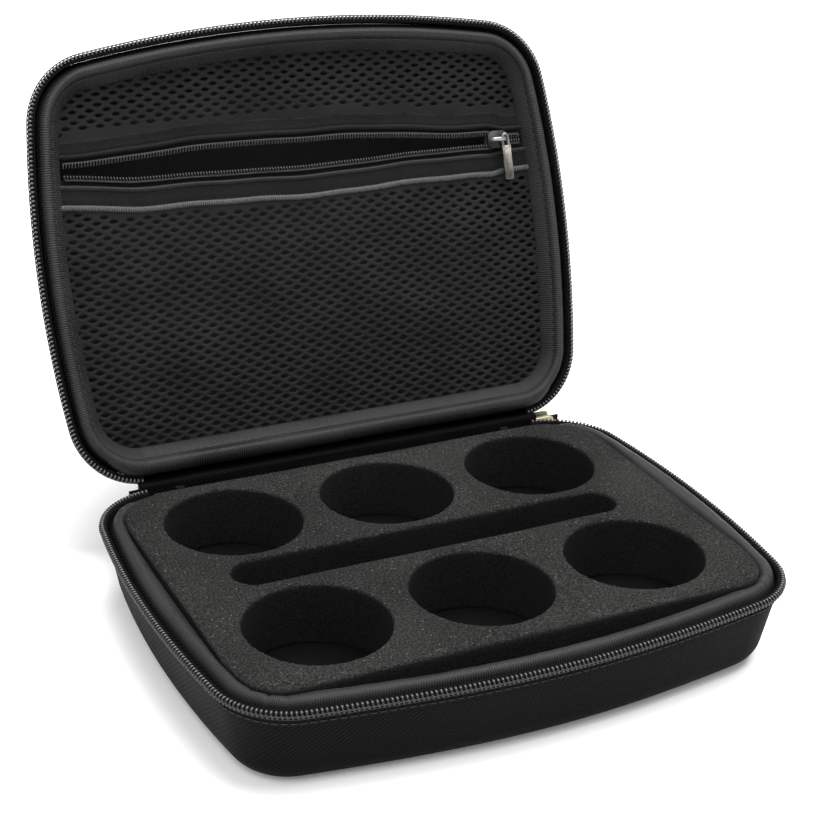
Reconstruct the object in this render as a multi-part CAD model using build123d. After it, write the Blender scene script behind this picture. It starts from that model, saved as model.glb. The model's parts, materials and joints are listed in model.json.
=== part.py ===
"""Hard-shell carry case for six tabletop miniatures, opened flat-bottomed with its lid standing.

Millimetres, +Z up. The origin is on the underside, under the middle of the rim. The hinge
runs along X at the rear (+Y); the lid is modelled shut, as a mirror of the base half, and
is then swung open about the hinge axis.
"""

import math
import os

from build123d import *

# ---- rim outline, at the outer face of the zipper teeth -------------------------------
CASE_LENGTH = 200.0  # across X, at the middle of the bowed sides
CASE_DEPTH = 151.0  # across Y, at the middle of the bowed front
SIDE_BOW = 6.6  # how far each side swells between its corners
FRONT_BOW = 9.5
CORNER_RADIUS = 25.0
HALF_HEIGHT = 30.5  # underside to parting plane, the same for base and lid
LID_ANGLE = 110.0  # lid opening in the modelled state

HALF_LENGTH = CASE_LENGTH / 2
REAR_Y = CASE_DEPTH / 2
FRONT_Y = -CASE_DEPTH / 2
HINGE_STANDOFF = 0.3  # hinge line behind the rear of the rim
HINGE_Y = REAR_Y + HINGE_STANDOFF

# ---- moulded shells: insets are from the rim outline, depths from the parting plane ----
SHELL_INSET = 2.6
SHELL_WALL = 4.0
SHELL_TOP_DEPTH = 2.2
LIP_DEPTH = 7.0  # upright part of the wall, where everything is sewn
WALL_DRAFT = 11.0  # degrees
SHELL_EDGE_RADIUS = 9.5
LINING_THICK = 0.6

# ---- main zipper ---------------------------------------------------------------------
COIL_THICK = 2.0
COIL_DEPTH = (0.9, 3.5)
TAPE_THICK = 0.6
TAPE_DEPTH = (1.2, 6.6)
ZIPPER_REAR_END = 74.0  # the zipper stops this far from the centre line along the rear

# ---- edge binding --------------------------------------------------------------------
BINDING_INSET = (4.0, 7.9)
BINDING_DEPTH = (0.2, 2.2)
BINDING_ROUND = 1.9
BASE_SKIRT_INSET = (7.2, 8.1)
BASE_SKIRT_DEPTH = (1.4, 7.0)
LID_SKIRT_INSET = (7.2, 10.8)
LID_SKIRT_DEPTH = (1.4, 7.1)
LID_SKIRT_THICK = 0.9

# ---- hinge strip ---------------------------------------------------------------------
HINGE_HALF_WIDTH = 60.0
HINGE_INSET = (0.2, 2.6)
HINGE_DEPTH = (0.2, 9.0)

# ---- foam ----------------------------------------------------------------------------
FOAM_LENGTH = 178.0
FOAM_DEPTH = 127.0
FOAM_CORNER_RADIUS = 14.0
FOAM_CENTRE_Y = 4.0
FOAM_TOP = HALF_HEIGHT + 0.8
FOAM_WALL_GAP = 0.2
FOAM_RIM_INSET = 8.4
PAD_THICK = 4.5
HOLE_DIAMETER = 45.3
HOLE_PITCH_X = 55.0
HOLE_PITCH_Y = 69.1
SLOT_LENGTH = 137.0
SLOT_WIDTH = 15.1
SLOT_SHIFT_Y = 0.7  # from the middle of the wells
WELLS_SHIFT = (-1.0, 1.2)  # middle of the wells from the middle of the foam

# ---- lid pocket: depths are into the lid from the parting plane -------------------------
POCKET_RIM_INSET = 7.5
MESH_DEPTH = (7.1, 7.7)
ZIP_FROM_HINGE = 104.6  # pocket zipper line to hinge line
ZIP_TILT = 1.75  # degrees, lower to the right with the lid standing
ZIP_HALF_LENGTH = 86.0
MOUTH_HALF_GAP = 1.3  # between zipper line and teeth, at the ends of the mouth
MOUTH_BOW = 3.0  # extra gap at its middle
POCKET_COIL_WIDTH = 1.9
POCKET_COIL_DEPTH = (5.1, 6.6)
POCKET_TAPE_DEPTH = (6.6, 7.1)
POCKET_TAPE_EDGE = 5.4  # zipper line to the outer edge of the tape
POCKET_BINDING_DEPTH = (6.3, 7.1)
LOWER_BINDING_EDGE = 12.2
UPPER_BINDING_EDGE = 10.6
MESH_EDGE = 9.2  # zipper line to the cut edge of the mesh, under the binding

# ---- sliders and pulls ---------------------------------------------------------------
PLATE_THICK = 0.8
WEB_THICK = 1.2
POCKET_SLIDER_LENGTH = 8.0
POCKET_SLIDER_WIDTH = 7.4
POCKET_SLIDER_X = 76.0
POCKET_TOP_PLATE = 4.0  # depth of the plate's outer face
POCKET_BOTTOM_PLATE = 7.4
POCKET_BRIDGE_TOP = 1.4
POCKET_PULL_DEPTH = (2.6, 3.6)
POCKET_PULL_LENGTH = 15.0
POCKET_PULL_WIDTH = 3.4

TAIL_BEHIND = (1.6, 2.2)  # tape of the zipper tail, behind the hinge line
TAIL_COIL_BEHIND = (2.2, 4.2)
TAIL_FROM = 61.0  # along the rear, from the centre line
RIGHT_TAIL_TO, LEFT_TAIL_TO = 88.0, 80.0
TAIL_ROOT = 3.0
TAIL_DEPTH = (1.0, 11.4)
TAIL_HALF_GAP = 0.9
TAIL_COIL_WIDTH = 2.2
SLIDER_LENGTH = 11.0
SLIDER_DEPTH = (1.5, 10.9)
SLIDER_MIDDLE = (SLIDER_DEPTH[0] + SLIDER_DEPTH[1]) / 2
SLIDER_INNER = 0.3  # inner plate, behind the hinge line
SLIDER_OUTER = 4.6
SLIDER_PLATE = 0.9
SLIDER_BRIDGE_TOP = 8.3
RIGHT_SLIDER_X = 79.5
LEFT_SLIDER_X = -70.0
PULL_BEHIND = (6.0, 7.1)
PULL_LENGTH = 20.0
PULL_WIDTH = 6.4


# ---- helpers -------------------------------------------------------------------------
def rim_outline():
    """The edges of the rim outline: a straight rear, bowed sides and front, round corners."""
    corner_x = HALF_LENGTH - SIDE_BOW
    corner_y = FRONT_Y + FRONT_BOW
    rear = Line((-corner_x, REAR_Y), (corner_x, REAR_Y))
    right = ThreePointArc((corner_x, REAR_Y), (HALF_LENGTH, 0), (corner_x, corner_y))
    front = ThreePointArc((corner_x, corner_y), (0, FRONT_Y), (-corner_x, corner_y))
    left = ThreePointArc((-corner_x, corner_y), (-HALF_LENGTH, 0), (-corner_x, REAR_Y))
    face = make_face(Curve() + [rear, right, front, left])
    return fillet(face.vertices(), CORNER_RADIUS).edges()


def moved_in(edge, position, inset):
    """A point part way along an outline edge, moved square to it towards the middle."""
    point, tangent = edge.position_at(position), edge.tangent_at(position)
    inward = Vector(-tangent.Y, tangent.X)
    return point - inward * inset if inward.dot(point) > 0 else point + inward * inset


def rim_face(inset):
    """The rim outline, brought in by inset all round."""
    edges = []
    for edge in rim_outline():
        start, middle, end = (moved_in(edge, at, inset) for at in (0, 0.5, 1))
        if edge.geom_type == GeomType.LINE:
            edges.append(Line(start, end))
        else:
            edges.append(ThreePointArc(start, middle, end))
    return make_face(Curve() + edges)


def slab(face, depths):
    """A flat face of the base half made solid between two depths below the parting plane."""
    shallow, deep = depths
    return Pos(0, 0, HALF_HEIGHT - deep) * extrude(face, deep - shallow)


def rim_ring(insets, depths):
    return slab(rim_face(insets[0]) - rim_face(insets[1]), depths)


def tapered(top_inset, top_z, bottom_inset, bottom_z):
    """A solid whose sides run straight from one inset of the outline to another."""
    top = Pos(0, 0, top_z) * rim_face(top_inset)
    bottom = Pos(0, 0, bottom_z) * rim_face(bottom_inset)
    return loft([bottom.face(), top.face()], ruled=True)


def block(xs, ys, zs):
    """A box between three pairs of coordinates."""
    size = [abs(pair[1] - pair[0]) for pair in (xs, ys, zs)]
    middle = [(pair[1] + pair[0]) / 2 for pair in (xs, ys, zs)]
    return Pos(*middle) * Box(*size)


def tub(inset, underside, edge_radius, top_depth):
    """A solid filling the drafted, round-edged base form out to one of its surfaces."""
    lip_z = HALF_HEIGHT - LIP_DEPTH
    lip = Pos(0, 0, lip_z) * extrude(rim_face(inset), LIP_DEPTH - top_depth)
    drawn_in = (lip_z - underside) * math.tan(math.radians(WALL_DRAFT))
    bowl = tapered(inset, lip_z, inset + drawn_in, underside)
    bowl = fillet(bowl.edges().group_by(Axis.Z)[0], edge_radius)
    return lip + bowl


def lid_from_base(shape):
    """Mirrors something built for the base half into the shut lid."""
    return mirror(shape, Plane((0, 0, HALF_HEIGHT), z_dir=(0, 0, 1)))


def open_lid(shape):
    """Swings a piece of the shut lid open to its modelled angle."""
    hinge = Axis((0, HINGE_Y, HALF_HEIGHT), (-1, 0, 0))
    return shape.rotate(hinge, LID_ANGLE)


# ---- the two halves ------------------------------------------------------------------
def make_shell():
    outer = tub(SHELL_INSET, 0, SHELL_EDGE_RADIUS, SHELL_TOP_DEPTH)
    inner = tub(
        SHELL_INSET + SHELL_WALL, SHELL_WALL, SHELL_EDGE_RADIUS - SHELL_WALL, 0
    )
    return outer - inner


def make_lining():
    outer_inset = SHELL_INSET + SHELL_WALL
    outer_radius = SHELL_EDGE_RADIUS - SHELL_WALL
    outer = tub(outer_inset, SHELL_WALL, outer_radius, SHELL_TOP_DEPTH)
    inner = tub(
        outer_inset + LINING_THICK,
        SHELL_WALL + LINING_THICK,
        outer_radius - LINING_THICK,
        0,
    )
    return outer - inner


def without_hinge_side(ring):
    """Takes out the rear run between the two ends of the zipper."""
    half = ZIPPER_REAR_END
    return ring - block((-half, half), (0, 2 * REAR_Y), (0, 2 * HALF_HEIGHT))


def make_coil():
    return without_hinge_side(rim_ring((0, COIL_THICK), COIL_DEPTH))


def make_tape():
    insets = (COIL_THICK, COIL_THICK + TAPE_THICK)
    return without_hinge_side(rim_ring(insets, TAPE_DEPTH))


def make_binding_cap():
    cap = rim_ring(BINDING_INSET, BINDING_DEPTH)
    return fillet(cap.edges().group_by(Axis.Z)[-1], BINDING_ROUND)


def make_base_binding():
    return make_binding_cap() + rim_ring(BASE_SKIRT_INSET, BASE_SKIRT_DEPTH)


def make_lid_binding():
    """The cap, with a skirt that slopes in and down to hold the edge of the mesh."""
    top_z, bottom_z = (HALF_HEIGHT - depth for depth in LID_SKIRT_DEPTH)
    near, far = LID_SKIRT_INSET
    outer = tapered(near, top_z, far - LID_SKIRT_THICK, bottom_z)
    inner = tapered(near + LID_SKIRT_THICK, top_z, far, bottom_z)
    return make_binding_cap() + (outer - inner)


def make_hinge_strip():
    ring = rim_ring(HINGE_INSET, HINGE_DEPTH)
    half = HINGE_HALF_WIDTH
    return ring & block((-half, half), (0, 2 * REAR_Y), (0, 2 * HALF_HEIGHT))


# ---- foam ----------------------------------------------------------------------------
def foam_block(bottom, top):
    """A length of the foam blank, trimmed to sit inside the lined shell."""
    blank = Pos(0, FOAM_CENTRE_Y) * RectangleRounded(
        FOAM_LENGTH, FOAM_DEPTH, FOAM_CORNER_RADIUS
    )
    face = blank & rim_face(FOAM_RIM_INSET)
    solid = Pos(0, 0, bottom) * extrude(face, top - bottom)
    space = tub(
        SHELL_INSET + SHELL_WALL + LINING_THICK + FOAM_WALL_GAP,
        SHELL_WALL + LINING_THICK,
        SHELL_EDGE_RADIUS - SHELL_WALL - LINING_THICK,
        HALF_HEIGHT - top,
    )
    return solid & space


def make_foam_pad():
    floor = SHELL_WALL + LINING_THICK
    return foam_block(floor, floor + PAD_THICK)


def make_foam_insert():
    """The die-cut layer: two rows of three round holes and a long slot between them."""
    bottom = SHELL_WALL + LINING_THICK + PAD_THICK
    holes = GridLocations(HOLE_PITCH_X, HOLE_PITCH_Y, 3, 2) * Circle(HOLE_DIAMETER / 2)
    slot = Pos(0, SLOT_SHIFT_Y) * SlotOverall(SLOT_LENGTH, SLOT_WIDTH)
    wells_x, wells_y = WELLS_SHIFT
    cuts = Pos(wells_x, FOAM_CENTRE_Y + wells_y) * (Sketch() + holes + slot)
    cutter = Pos(0, 0, bottom) * extrude(cuts, FOAM_TOP - bottom)
    return foam_block(bottom, FOAM_TOP) - cutter


# ---- lid pocket, all built in the shut lid ---------------------------------------------
def pocket_place():
    """Where the pocket zipper line crosses the centre line, tilted with it."""
    return Pos(0, HINGE_Y - ZIP_FROM_HINGE) * Rot(0, 0, ZIP_TILT)


def lid_slab(face, depths):
    """A flat face made solid between two depths into the shut lid."""
    shallow, deep = depths
    return Pos(0, 0, HALF_HEIGHT + shallow) * extrude(face, deep - shallow)


def bowed_band(near, far):
    """A band along the zipper line, bowed with the open mouth. Positive is to the rear."""
    side = 1 if far > 0 else -1
    end = ZIP_HALF_LENGTH
    bow = side * MOUTH_BOW
    inner = ThreePointArc((-end, near), (0, near + bow), (end, near))
    outer = ThreePointArc((-end, far), (0, far + bow), (end, far))
    closing = [Line((-end, near), (-end, far)), Line((end, near), (end, far))]
    return make_face(Curve() + [inner, outer] + closing)


def pocket_strip(side, near, far, depths):
    """One sewn strip of the pocket mouth. Side is 1 towards the hinge and -1 away from it."""
    return lid_slab(pocket_place() * bowed_band(side * near, side * far), depths)


def make_pocket_coil(side):
    near = MOUTH_HALF_GAP
    return pocket_strip(side, near, near + POCKET_COIL_WIDTH, POCKET_COIL_DEPTH)


def make_pocket_tape(side):
    return pocket_strip(side, MOUTH_HALF_GAP, POCKET_TAPE_EDGE, POCKET_TAPE_DEPTH)


def make_pocket_binding(side, edge):
    return pocket_strip(side, POCKET_TAPE_EDGE, edge, POCKET_BINDING_DEPTH)


def make_pocket_mesh(side):
    """The mesh panel on one side of the zipper, out to the rim."""
    reach = 2 * CASE_LENGTH
    middle = side * (MESH_EDGE + reach / 2)
    half_plane = pocket_place() * Pos(0, middle) * Rectangle(2 * reach, reach)
    return lid_slab(rim_face(POCKET_RIM_INSET) & half_plane, MESH_DEPTH)


# ---- sliders: built with travel along X, plates facing Z, pull side up --------------------
def slider_body(length, width, bottom, top, plate, bridge_top):
    """Two plates joined by the wedge at one end, with a bridge for the pull on top."""
    half = length / 2
    outline = Rectangle(length, width)
    outline = fillet(outline.vertices(), width / 4)
    lower = Pos(0, 0, bottom) * extrude(outline, plate)
    upper = Pos(0, 0, top - plate) * extrude(outline, plate)
    wedge = block((-half + plate, 0), (-WEB_THICK / 2, WEB_THICK / 2), (bottom, top))
    post = plate
    rise = (top, bridge_top)
    side = (-plate, plate)
    near_post = block((-half + 2 * plate, -half + 2 * plate + post), side, rise)
    far_post = block((half - plate - post, half - plate), side, rise)
    bar = block((-half + 2 * plate, half - plate), side, (bridge_top - plate, bridge_top))
    return lower + upper + wedge + near_post + far_post + bar


def pull_tab(length, width, thick, eye):
    """A flat tab with an arched eye, hanging along -Y from an eye centred on the origin."""
    head = Circle(width / 2) + Pos(0, -width / 4) * Rectangle(width, width / 2)
    body = Pos(0, -(length + width / 2) / 2) * Rectangle(width, length - width / 2)
    blade = head + body
    tip = blade.vertices().group_by(Axis.Y)[0]
    blade = fillet(tip, width / 8)
    return extrude(blade - Circle(eye), thick / 2, both=True)


def make_pocket_slider():
    """Plates either side of the pocket tapes, the bridge towards the base."""
    bottom = -(POCKET_BOTTOM_PLATE + PLATE_THICK)
    body = slider_body(
        POCKET_SLIDER_LENGTH,
        POCKET_SLIDER_WIDTH,
        bottom,
        -POCKET_TOP_PLATE,
        PLATE_THICK,
        -POCKET_BRIDGE_TOP,
    )
    facing_base = Pos(0, 0, HALF_HEIGHT) * Rot(180, 0, 0)
    return pocket_place() * Pos(POCKET_SLIDER_X, 0) * facing_base * body


def pocket_pull_eye_x():
    """The far post of the pocket slider's bridge, along the zipper line."""
    return POCKET_SLIDER_X + POCKET_SLIDER_LENGTH / 2 - 1.5 * PLATE_THICK


def make_pocket_pull():
    shallow, deep = POCKET_PULL_DEPTH
    eye = PLATE_THICK * 1.75
    tab = pull_tab(POCKET_PULL_LENGTH, POCKET_PULL_WIDTH, deep - shallow, eye)
    height = HALF_HEIGHT + (shallow + deep) / 2
    hung = Pos(pocket_pull_eye_x(), 0, height) * Rot(0, 0, 180 - ZIP_TILT) * tab
    return pocket_place() * hung


# ---- main zipper tails, sliders and pulls, on the rear of the base -----------------------
def behind_hinge(distances):
    return tuple(HINGE_Y + distance for distance in distances)


def below_parting(depths):
    return tuple(HALF_HEIGHT - depth for depth in depths)


def tail_rows(side, behind, outer_edges):
    """Two strips along the tail, either side of the line the slider runs along."""
    end = RIGHT_TAIL_TO if side > 0 else LEFT_TAIL_TO
    xs = (side * (TAIL_FROM + TAIL_ROOT), side * end)
    ys = behind_hinge(behind)
    inner_edges = (SLIDER_MIDDLE - TAIL_HALF_GAP, SLIDER_MIDDLE + TAIL_HALF_GAP)
    rows = [
        block(xs, ys, below_parting(pair)) for pair in zip(inner_edges, outer_edges)
    ]
    return rows[0] + rows[1]


def make_tail(side):
    """The ends of the two zipper tapes, joined and folded where they are sewn to the wall."""
    strips = tail_rows(side, TAIL_BEHIND, TAIL_DEPTH)
    root_xs = (side * TAIL_FROM, side * (TAIL_FROM + TAIL_ROOT))
    fold = block(root_xs, behind_hinge(TAIL_BEHIND), below_parting(TAIL_DEPTH))
    root_ys = (REAR_Y - SHELL_INSET, HINGE_Y + TAIL_BEHIND[1])
    root = block(root_xs, root_ys, below_parting((TAIL_DEPTH[0], LIP_DEPTH)))
    return strips + fold + root


def make_tail_coil(side):
    middle, reach = SLIDER_MIDDLE, TAIL_HALF_GAP + TAIL_COIL_WIDTH
    return tail_rows(side, TAIL_COIL_BEHIND, (middle - reach, middle + reach))


def make_slider(x, side):
    """A main slider parked at x. Its wedge is at the end that meets the open zipper."""
    body = slider_body(
        SLIDER_LENGTH,
        SLIDER_DEPTH[1] - SLIDER_DEPTH[0],
        SLIDER_INNER,
        SLIDER_OUTER + SLIDER_PLATE,
        SLIDER_PLATE,
        SLIDER_BRIDGE_TOP,
    )
    turned = Rot(0, 0, 180) * body if side > 0 else body
    upright = Pos(x, HINGE_Y, HALF_HEIGHT - SLIDER_MIDDLE) * Rot(-90, 0, 0)
    return upright * turned


def make_pull(x, side):
    """The pull hangs on the bridge post nearer the middle of the case."""
    near, far = PULL_BEHIND
    tab = pull_tab(PULL_LENGTH, PULL_WIDTH, far - near, SLIDER_PLATE * 2.2)
    post_x = x - side * (SLIDER_LENGTH / 2 - 1.5 * SLIDER_PLATE)
    eye = Pos(post_x, HINGE_Y + (near + far) / 2, HALF_HEIGHT - SLIDER_MIDDLE)
    return eye * Rot(90, 0, 0) * tab


# ---- the assembly --------------------------------------------------------------------
def make_parts():
    shell, lining = make_shell(), make_lining()
    tape, coil, strip = make_tape(), make_coil(), make_hinge_strip()
    parts = {
        "base_shell": shell,
        "base_lining": lining,
        "base_binding": make_base_binding(),
        "base_zipper_tape": tape,
        "base_zipper_coil": coil,
        "hinge_strip_base": strip,
        "foam_pad": make_foam_pad(),
        "foam_insert": make_foam_insert(),
        "zipper_tail_right": make_tail(1),
        "zipper_tail_left": make_tail(-1),
        "tail_coil_right": make_tail_coil(1),
        "tail_coil_left": make_tail_coil(-1),
        "slider_right": make_slider(RIGHT_SLIDER_X, 1),
        "slider_left": make_slider(LEFT_SLIDER_X, -1),
        "pull_right": make_pull(RIGHT_SLIDER_X, 1),
        "pull_left": make_pull(LEFT_SLIDER_X, -1),
    }
    mirrored = {
        "lid_shell": shell,
        "lid_lining": lining,
        "lid_binding": make_lid_binding(),
        "lid_zipper_tape": tape,
        "lid_zipper_coil": coil,
        "hinge_strip_lid": strip,
    }
    for name, shape in mirrored.items():
        parts[name] = open_lid(lid_from_base(shape))
    pocket = {
        "pocket_mesh_lower": make_pocket_mesh(1),
        "pocket_mesh_upper": make_pocket_mesh(-1),
        "pocket_binding_lower": make_pocket_binding(1, LOWER_BINDING_EDGE),
        "pocket_binding_upper": make_pocket_binding(-1, UPPER_BINDING_EDGE),
        "pocket_tape_lower": make_pocket_tape(1),
        "pocket_tape_upper": make_pocket_tape(-1),
        "pocket_coil_lower": make_pocket_coil(1),
        "pocket_coil_upper": make_pocket_coil(-1),
        "pocket_slider": make_pocket_slider(),
        "pocket_pull": make_pocket_pull(),
    }
    for name, shape in pocket.items():
        parts[name] = open_lid(shape)
    return parts


os.makedirs("parts", exist_ok=True)
for node, shape in make_parts().items():
    export_step(shape, f"parts/{node}.step")
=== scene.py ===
"""Looks for the miniature carry case: cloth, foam, mesh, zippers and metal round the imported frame.

Lengths are millimetres until a mesh is made. A point near the rim is given as (inset, depth):
inset is from the rim outline towards the middle, depth is from the parting plane into that half
of the case. The lid uses the same numbers as the base.
"""

import math

import bmesh
import bpy
import numpy as np
from mathutils import Matrix, Vector, noise
from mathutils.kdtree import KDTree
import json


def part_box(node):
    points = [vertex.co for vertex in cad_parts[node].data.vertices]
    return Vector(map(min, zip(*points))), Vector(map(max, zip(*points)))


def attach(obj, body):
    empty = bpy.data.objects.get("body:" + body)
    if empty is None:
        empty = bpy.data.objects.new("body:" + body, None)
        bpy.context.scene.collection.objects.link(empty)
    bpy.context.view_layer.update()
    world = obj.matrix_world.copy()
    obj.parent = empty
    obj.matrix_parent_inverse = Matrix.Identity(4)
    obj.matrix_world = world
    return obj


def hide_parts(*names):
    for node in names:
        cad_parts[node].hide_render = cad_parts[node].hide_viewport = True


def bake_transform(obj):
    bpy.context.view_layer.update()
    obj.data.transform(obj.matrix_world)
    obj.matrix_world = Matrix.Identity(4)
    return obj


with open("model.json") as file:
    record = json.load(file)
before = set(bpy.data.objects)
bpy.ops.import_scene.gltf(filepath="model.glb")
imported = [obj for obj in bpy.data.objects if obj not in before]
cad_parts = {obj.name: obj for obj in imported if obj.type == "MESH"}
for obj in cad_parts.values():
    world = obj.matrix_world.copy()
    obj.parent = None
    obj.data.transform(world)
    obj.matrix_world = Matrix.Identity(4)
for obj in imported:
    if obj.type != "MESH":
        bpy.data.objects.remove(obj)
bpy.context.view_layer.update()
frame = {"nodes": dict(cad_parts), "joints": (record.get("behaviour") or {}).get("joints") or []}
MM = 0.001


def box_mm(node):
    low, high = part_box(node)
    return np.array(low) / MM, np.array(high) / MM


def joint(name):
    return next(j for j in frame["joints"] if j["name"] == name)


# ---- sizes read from the frame ----
coil_low, coil_high = box_mm("base_zipper_coil")
HALF_LENGTH = coil_high[0]
REAR_Y, FRONT_Y = coil_high[1], coil_low[1]
HINGE = np.array(joint("lid_hinge")["pos_m"]) / MM
HALF_HEIGHT = HINGE[2]
OPEN_ANGLE = math.radians(-joint("lid_hinge")["range_deg"][0])
SIDE_BOW, FRONT_BOW, CORNER_RADIUS = 6.6, 9.5, 25.0
ZIPPER_REAR_END = 74.0


# ---- the rim outline ----
def circle_through(a, b, c):
    (ax, ay), (bx, by), (cx, cy) = a, b, c
    d = 2 * (ax * (by - cy) + bx * (cy - ay) + cx * (ay - by))
    aa, bb, cc = ax * ax + ay * ay, bx * bx + by * by, cx * cx + cy * cy
    centre_x = (aa * (by - cy) + bb * (cy - ay) + cc * (ay - by)) / d
    centre_y = (aa * (cx - bx) + bb * (ax - cx) + cc * (bx - ax)) / d
    centre = np.array([centre_x, centre_y])
    return centre, float(np.linalg.norm(centre - a))


def rim_table():
    """Points, inward normals and lengths round the rim, from the middle of the rear, clockwise."""
    corner_x, corner_y = HALF_LENGTH - SIDE_BOW, FRONT_Y + FRONT_BOW
    side, side_r = circle_through((corner_x, REAR_Y), (HALF_LENGTH, 0), (corner_x, corner_y))
    front, front_r = circle_through((corner_x, corner_y), (0, FRONT_Y), (-corner_x, corner_y))
    y1 = REAR_Y - CORNER_RADIUS
    reach = math.sqrt((side_r - CORNER_RADIUS) ** 2 - (y1 - side[1]) ** 2)
    rear_corner = np.array([side[0] + reach, y1])
    gap = front - side
    far = np.linalg.norm(gap)
    r0, r1 = side_r - CORNER_RADIUS, front_r - CORNER_RADIUS
    along = (r0 * r0 - r1 * r1 + far * far) / (2 * far)
    across = math.sqrt(r0 * r0 - along * along)
    unit = gap / far
    front_corner = side + along * unit + across * np.array([unit[1], -unit[0]])

    def arc(centre, radius, start, end, count):
        angles = np.linspace(start, end, count)
        out = np.stack([np.cos(angles), np.sin(angles)], 1)
        return centre + radius * out, -out

    def angle(of, about):
        return math.atan2(of[1] - about[1], of[0] - about[0])

    xs = np.linspace(0, rear_corner[0], 160)
    rear_turn, front_turn = angle(rear_corner, side), angle(front_corner, side)
    turns = [
        (np.stack([xs, np.full_like(xs, REAR_Y)], 1), np.tile([0.0, -1.0], (len(xs), 1))),
        arc(rear_corner, CORNER_RADIUS, math.pi / 2, rear_turn, 160),
        arc(side, side_r, rear_turn, front_turn, 260),
        arc(front_corner, CORNER_RADIUS, front_turn, angle(front_corner, front), 160),
        arc(front, front_r, angle(front_corner, front), -math.pi / 2, 200),
    ]
    right = (np.concatenate([turn[k][i > 0 :] for i, turn in enumerate(turns)]) for k in (0, 1))
    points, normals = (np.concatenate([half, half[-2::-1] * (-1.0, 1.0)]) for half in right)
    steps = np.linalg.norm(np.diff(points, axis=0), axis=1)
    return points, normals, np.concatenate([[0.0], np.cumsum(steps)])


RIM_POINTS, RIM_NORMALS, RIM_LENGTHS = rim_table()
RIM_LENGTH = RIM_LENGTHS[-1]


def rim_at(us):
    """Rim points and inward normals at distances round it."""
    us = np.mod(us, RIM_LENGTH)
    parts = [np.interp(us, RIM_LENGTHS, t[:, k]) for t in (RIM_POINTS, RIM_NORMALS) for k in (0, 1)]
    return np.stack(parts[:2], 1), np.stack(parts[2:], 1)


rim_tree = KDTree(len(RIM_POINTS))
for index, point in enumerate(RIM_POINTS):
    rim_tree.insert((point[0], point[1], 0), index)
rim_tree.balance()


def on_base(x, y, depth):
    """A point of the base. The middle of its front wall is pressed out a little by the foam."""
    near_front = np.clip((-45.0 - y) / 25.0, 0, 1)
    across = np.clip(1 - ((x - 8.0) / 74.0) ** 2, 0, 1)
    return np.stack([x, y - 1.2 * near_front * across**2, HALF_HEIGHT - depth], -1)


def on_lid(x, y, depth):
    """A point of the lid, given as it would be on the base, with the lid standing open."""
    lean, rise = -math.cos(OPEN_ANGLE), math.sin(OPEN_ANGLE)
    from_hinge = HINGE[1] - y
    y = HINGE[1] + lean * from_hinge + rise * depth
    return np.stack([x, y, HINGE[2] + rise * from_hinge - lean * depth], -1)


PLACES = {"base": on_base, "lid": on_lid}


def on_rim(half, us, inset, depth, slide=0.0):
    """Points of one half of the case, at distances round its rim. Slide is along the rim."""
    points, normals = rim_at(us)
    x = points[:, :1] + normals[:, :1] * inset + normals[:, 1:] * slide
    y = points[:, 1:] + normals[:, 1:] * inset - normals[:, :1] * slide
    return PLACES[half](x, y, np.broadcast_to(depth, x.shape)).reshape(-1, 3)


def drift(values, scale, *seed):
    """Smooth noise along a line of values, as a column."""
    return np.array([noise.noise((v * scale, *seed)) for v in np.ravel(values)])[:, None]


# ---- meshes ----
def linked(name, data):
    """A new object in the scene."""
    obj = bpy.data.objects.new(name, data)
    bpy.context.scene.collection.objects.link(obj)
    return obj


def edited(mesh, edit):
    """Runs edit on the mesh as a bmesh, and writes it back."""
    work = bmesh.new()
    work.from_mesh(mesh)
    edit(work)
    work.to_mesh(mesh)
    work.free()


def make_object(name, points, faces, uvs=None):
    """An object from points in millimetres. uvs holds one pair for each corner of each face."""
    mesh = bpy.data.meshes.new(name)
    mesh.from_pydata((np.asarray(points, float) * MM).tolist(), [], faces)
    if uvs is not None:
        layer = mesh.uv_layers.new(name="cloth")
        layer.data.foreach_set("uv", np.asarray(uvs, np.float32).ravel())
    mesh.update()
    edited(mesh, lambda work: bmesh.ops.recalc_face_normals(work, faces=work.faces))
    mesh.polygons.foreach_set("use_smooth", [True] * len(mesh.polygons))
    return linked(name, mesh)


def grid_faces(rows, columns, wrap_rows=False, wrap_columns=False):
    """Quads over a grid of points, and the row and column of each corner."""
    i = np.arange(rows if wrap_rows else rows - 1)
    j = np.arange(columns if wrap_columns else columns - 1)
    i, j = (a.ravel() for a in np.meshgrid(i, j, indexing="ij"))
    corner_i = np.stack([i, i + 1, i + 1, i], 1)
    corner_j = np.stack([j, j, j + 1, j + 1], 1)
    faces = (corner_i % rows) * columns + corner_j % columns
    return faces, corner_i, corner_j


def end_caps(rows, columns):
    """The two faces that close the ends of a grid whose columns run round."""
    last = (rows - 1) * columns
    return [list(range(columns)), list(range(last, last + columns))]


def lengths_along(profile, closed):
    steps = np.linalg.norm(np.diff(np.vstack([profile, profile[:1]]), axis=0), axis=1)
    return np.concatenate([[0.0], np.cumsum(steps)])[: len(profile) + closed]


def rounded(profile, rounds=2, closed=True):
    """The profile with its corners cut, which rounds them."""
    points = np.array(profile, float)
    for _ in range(rounds):
        nexts = np.roll(points, -1, 0)
        cut = np.stack([0.75 * points + 0.25 * nexts, 0.25 * points + 0.75 * nexts], 1)
        cut = cut.reshape(-1, 2)
        points = cut if closed else np.vstack([points[:1], cut[1:-2], points[-1:]])
    return points


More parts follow.
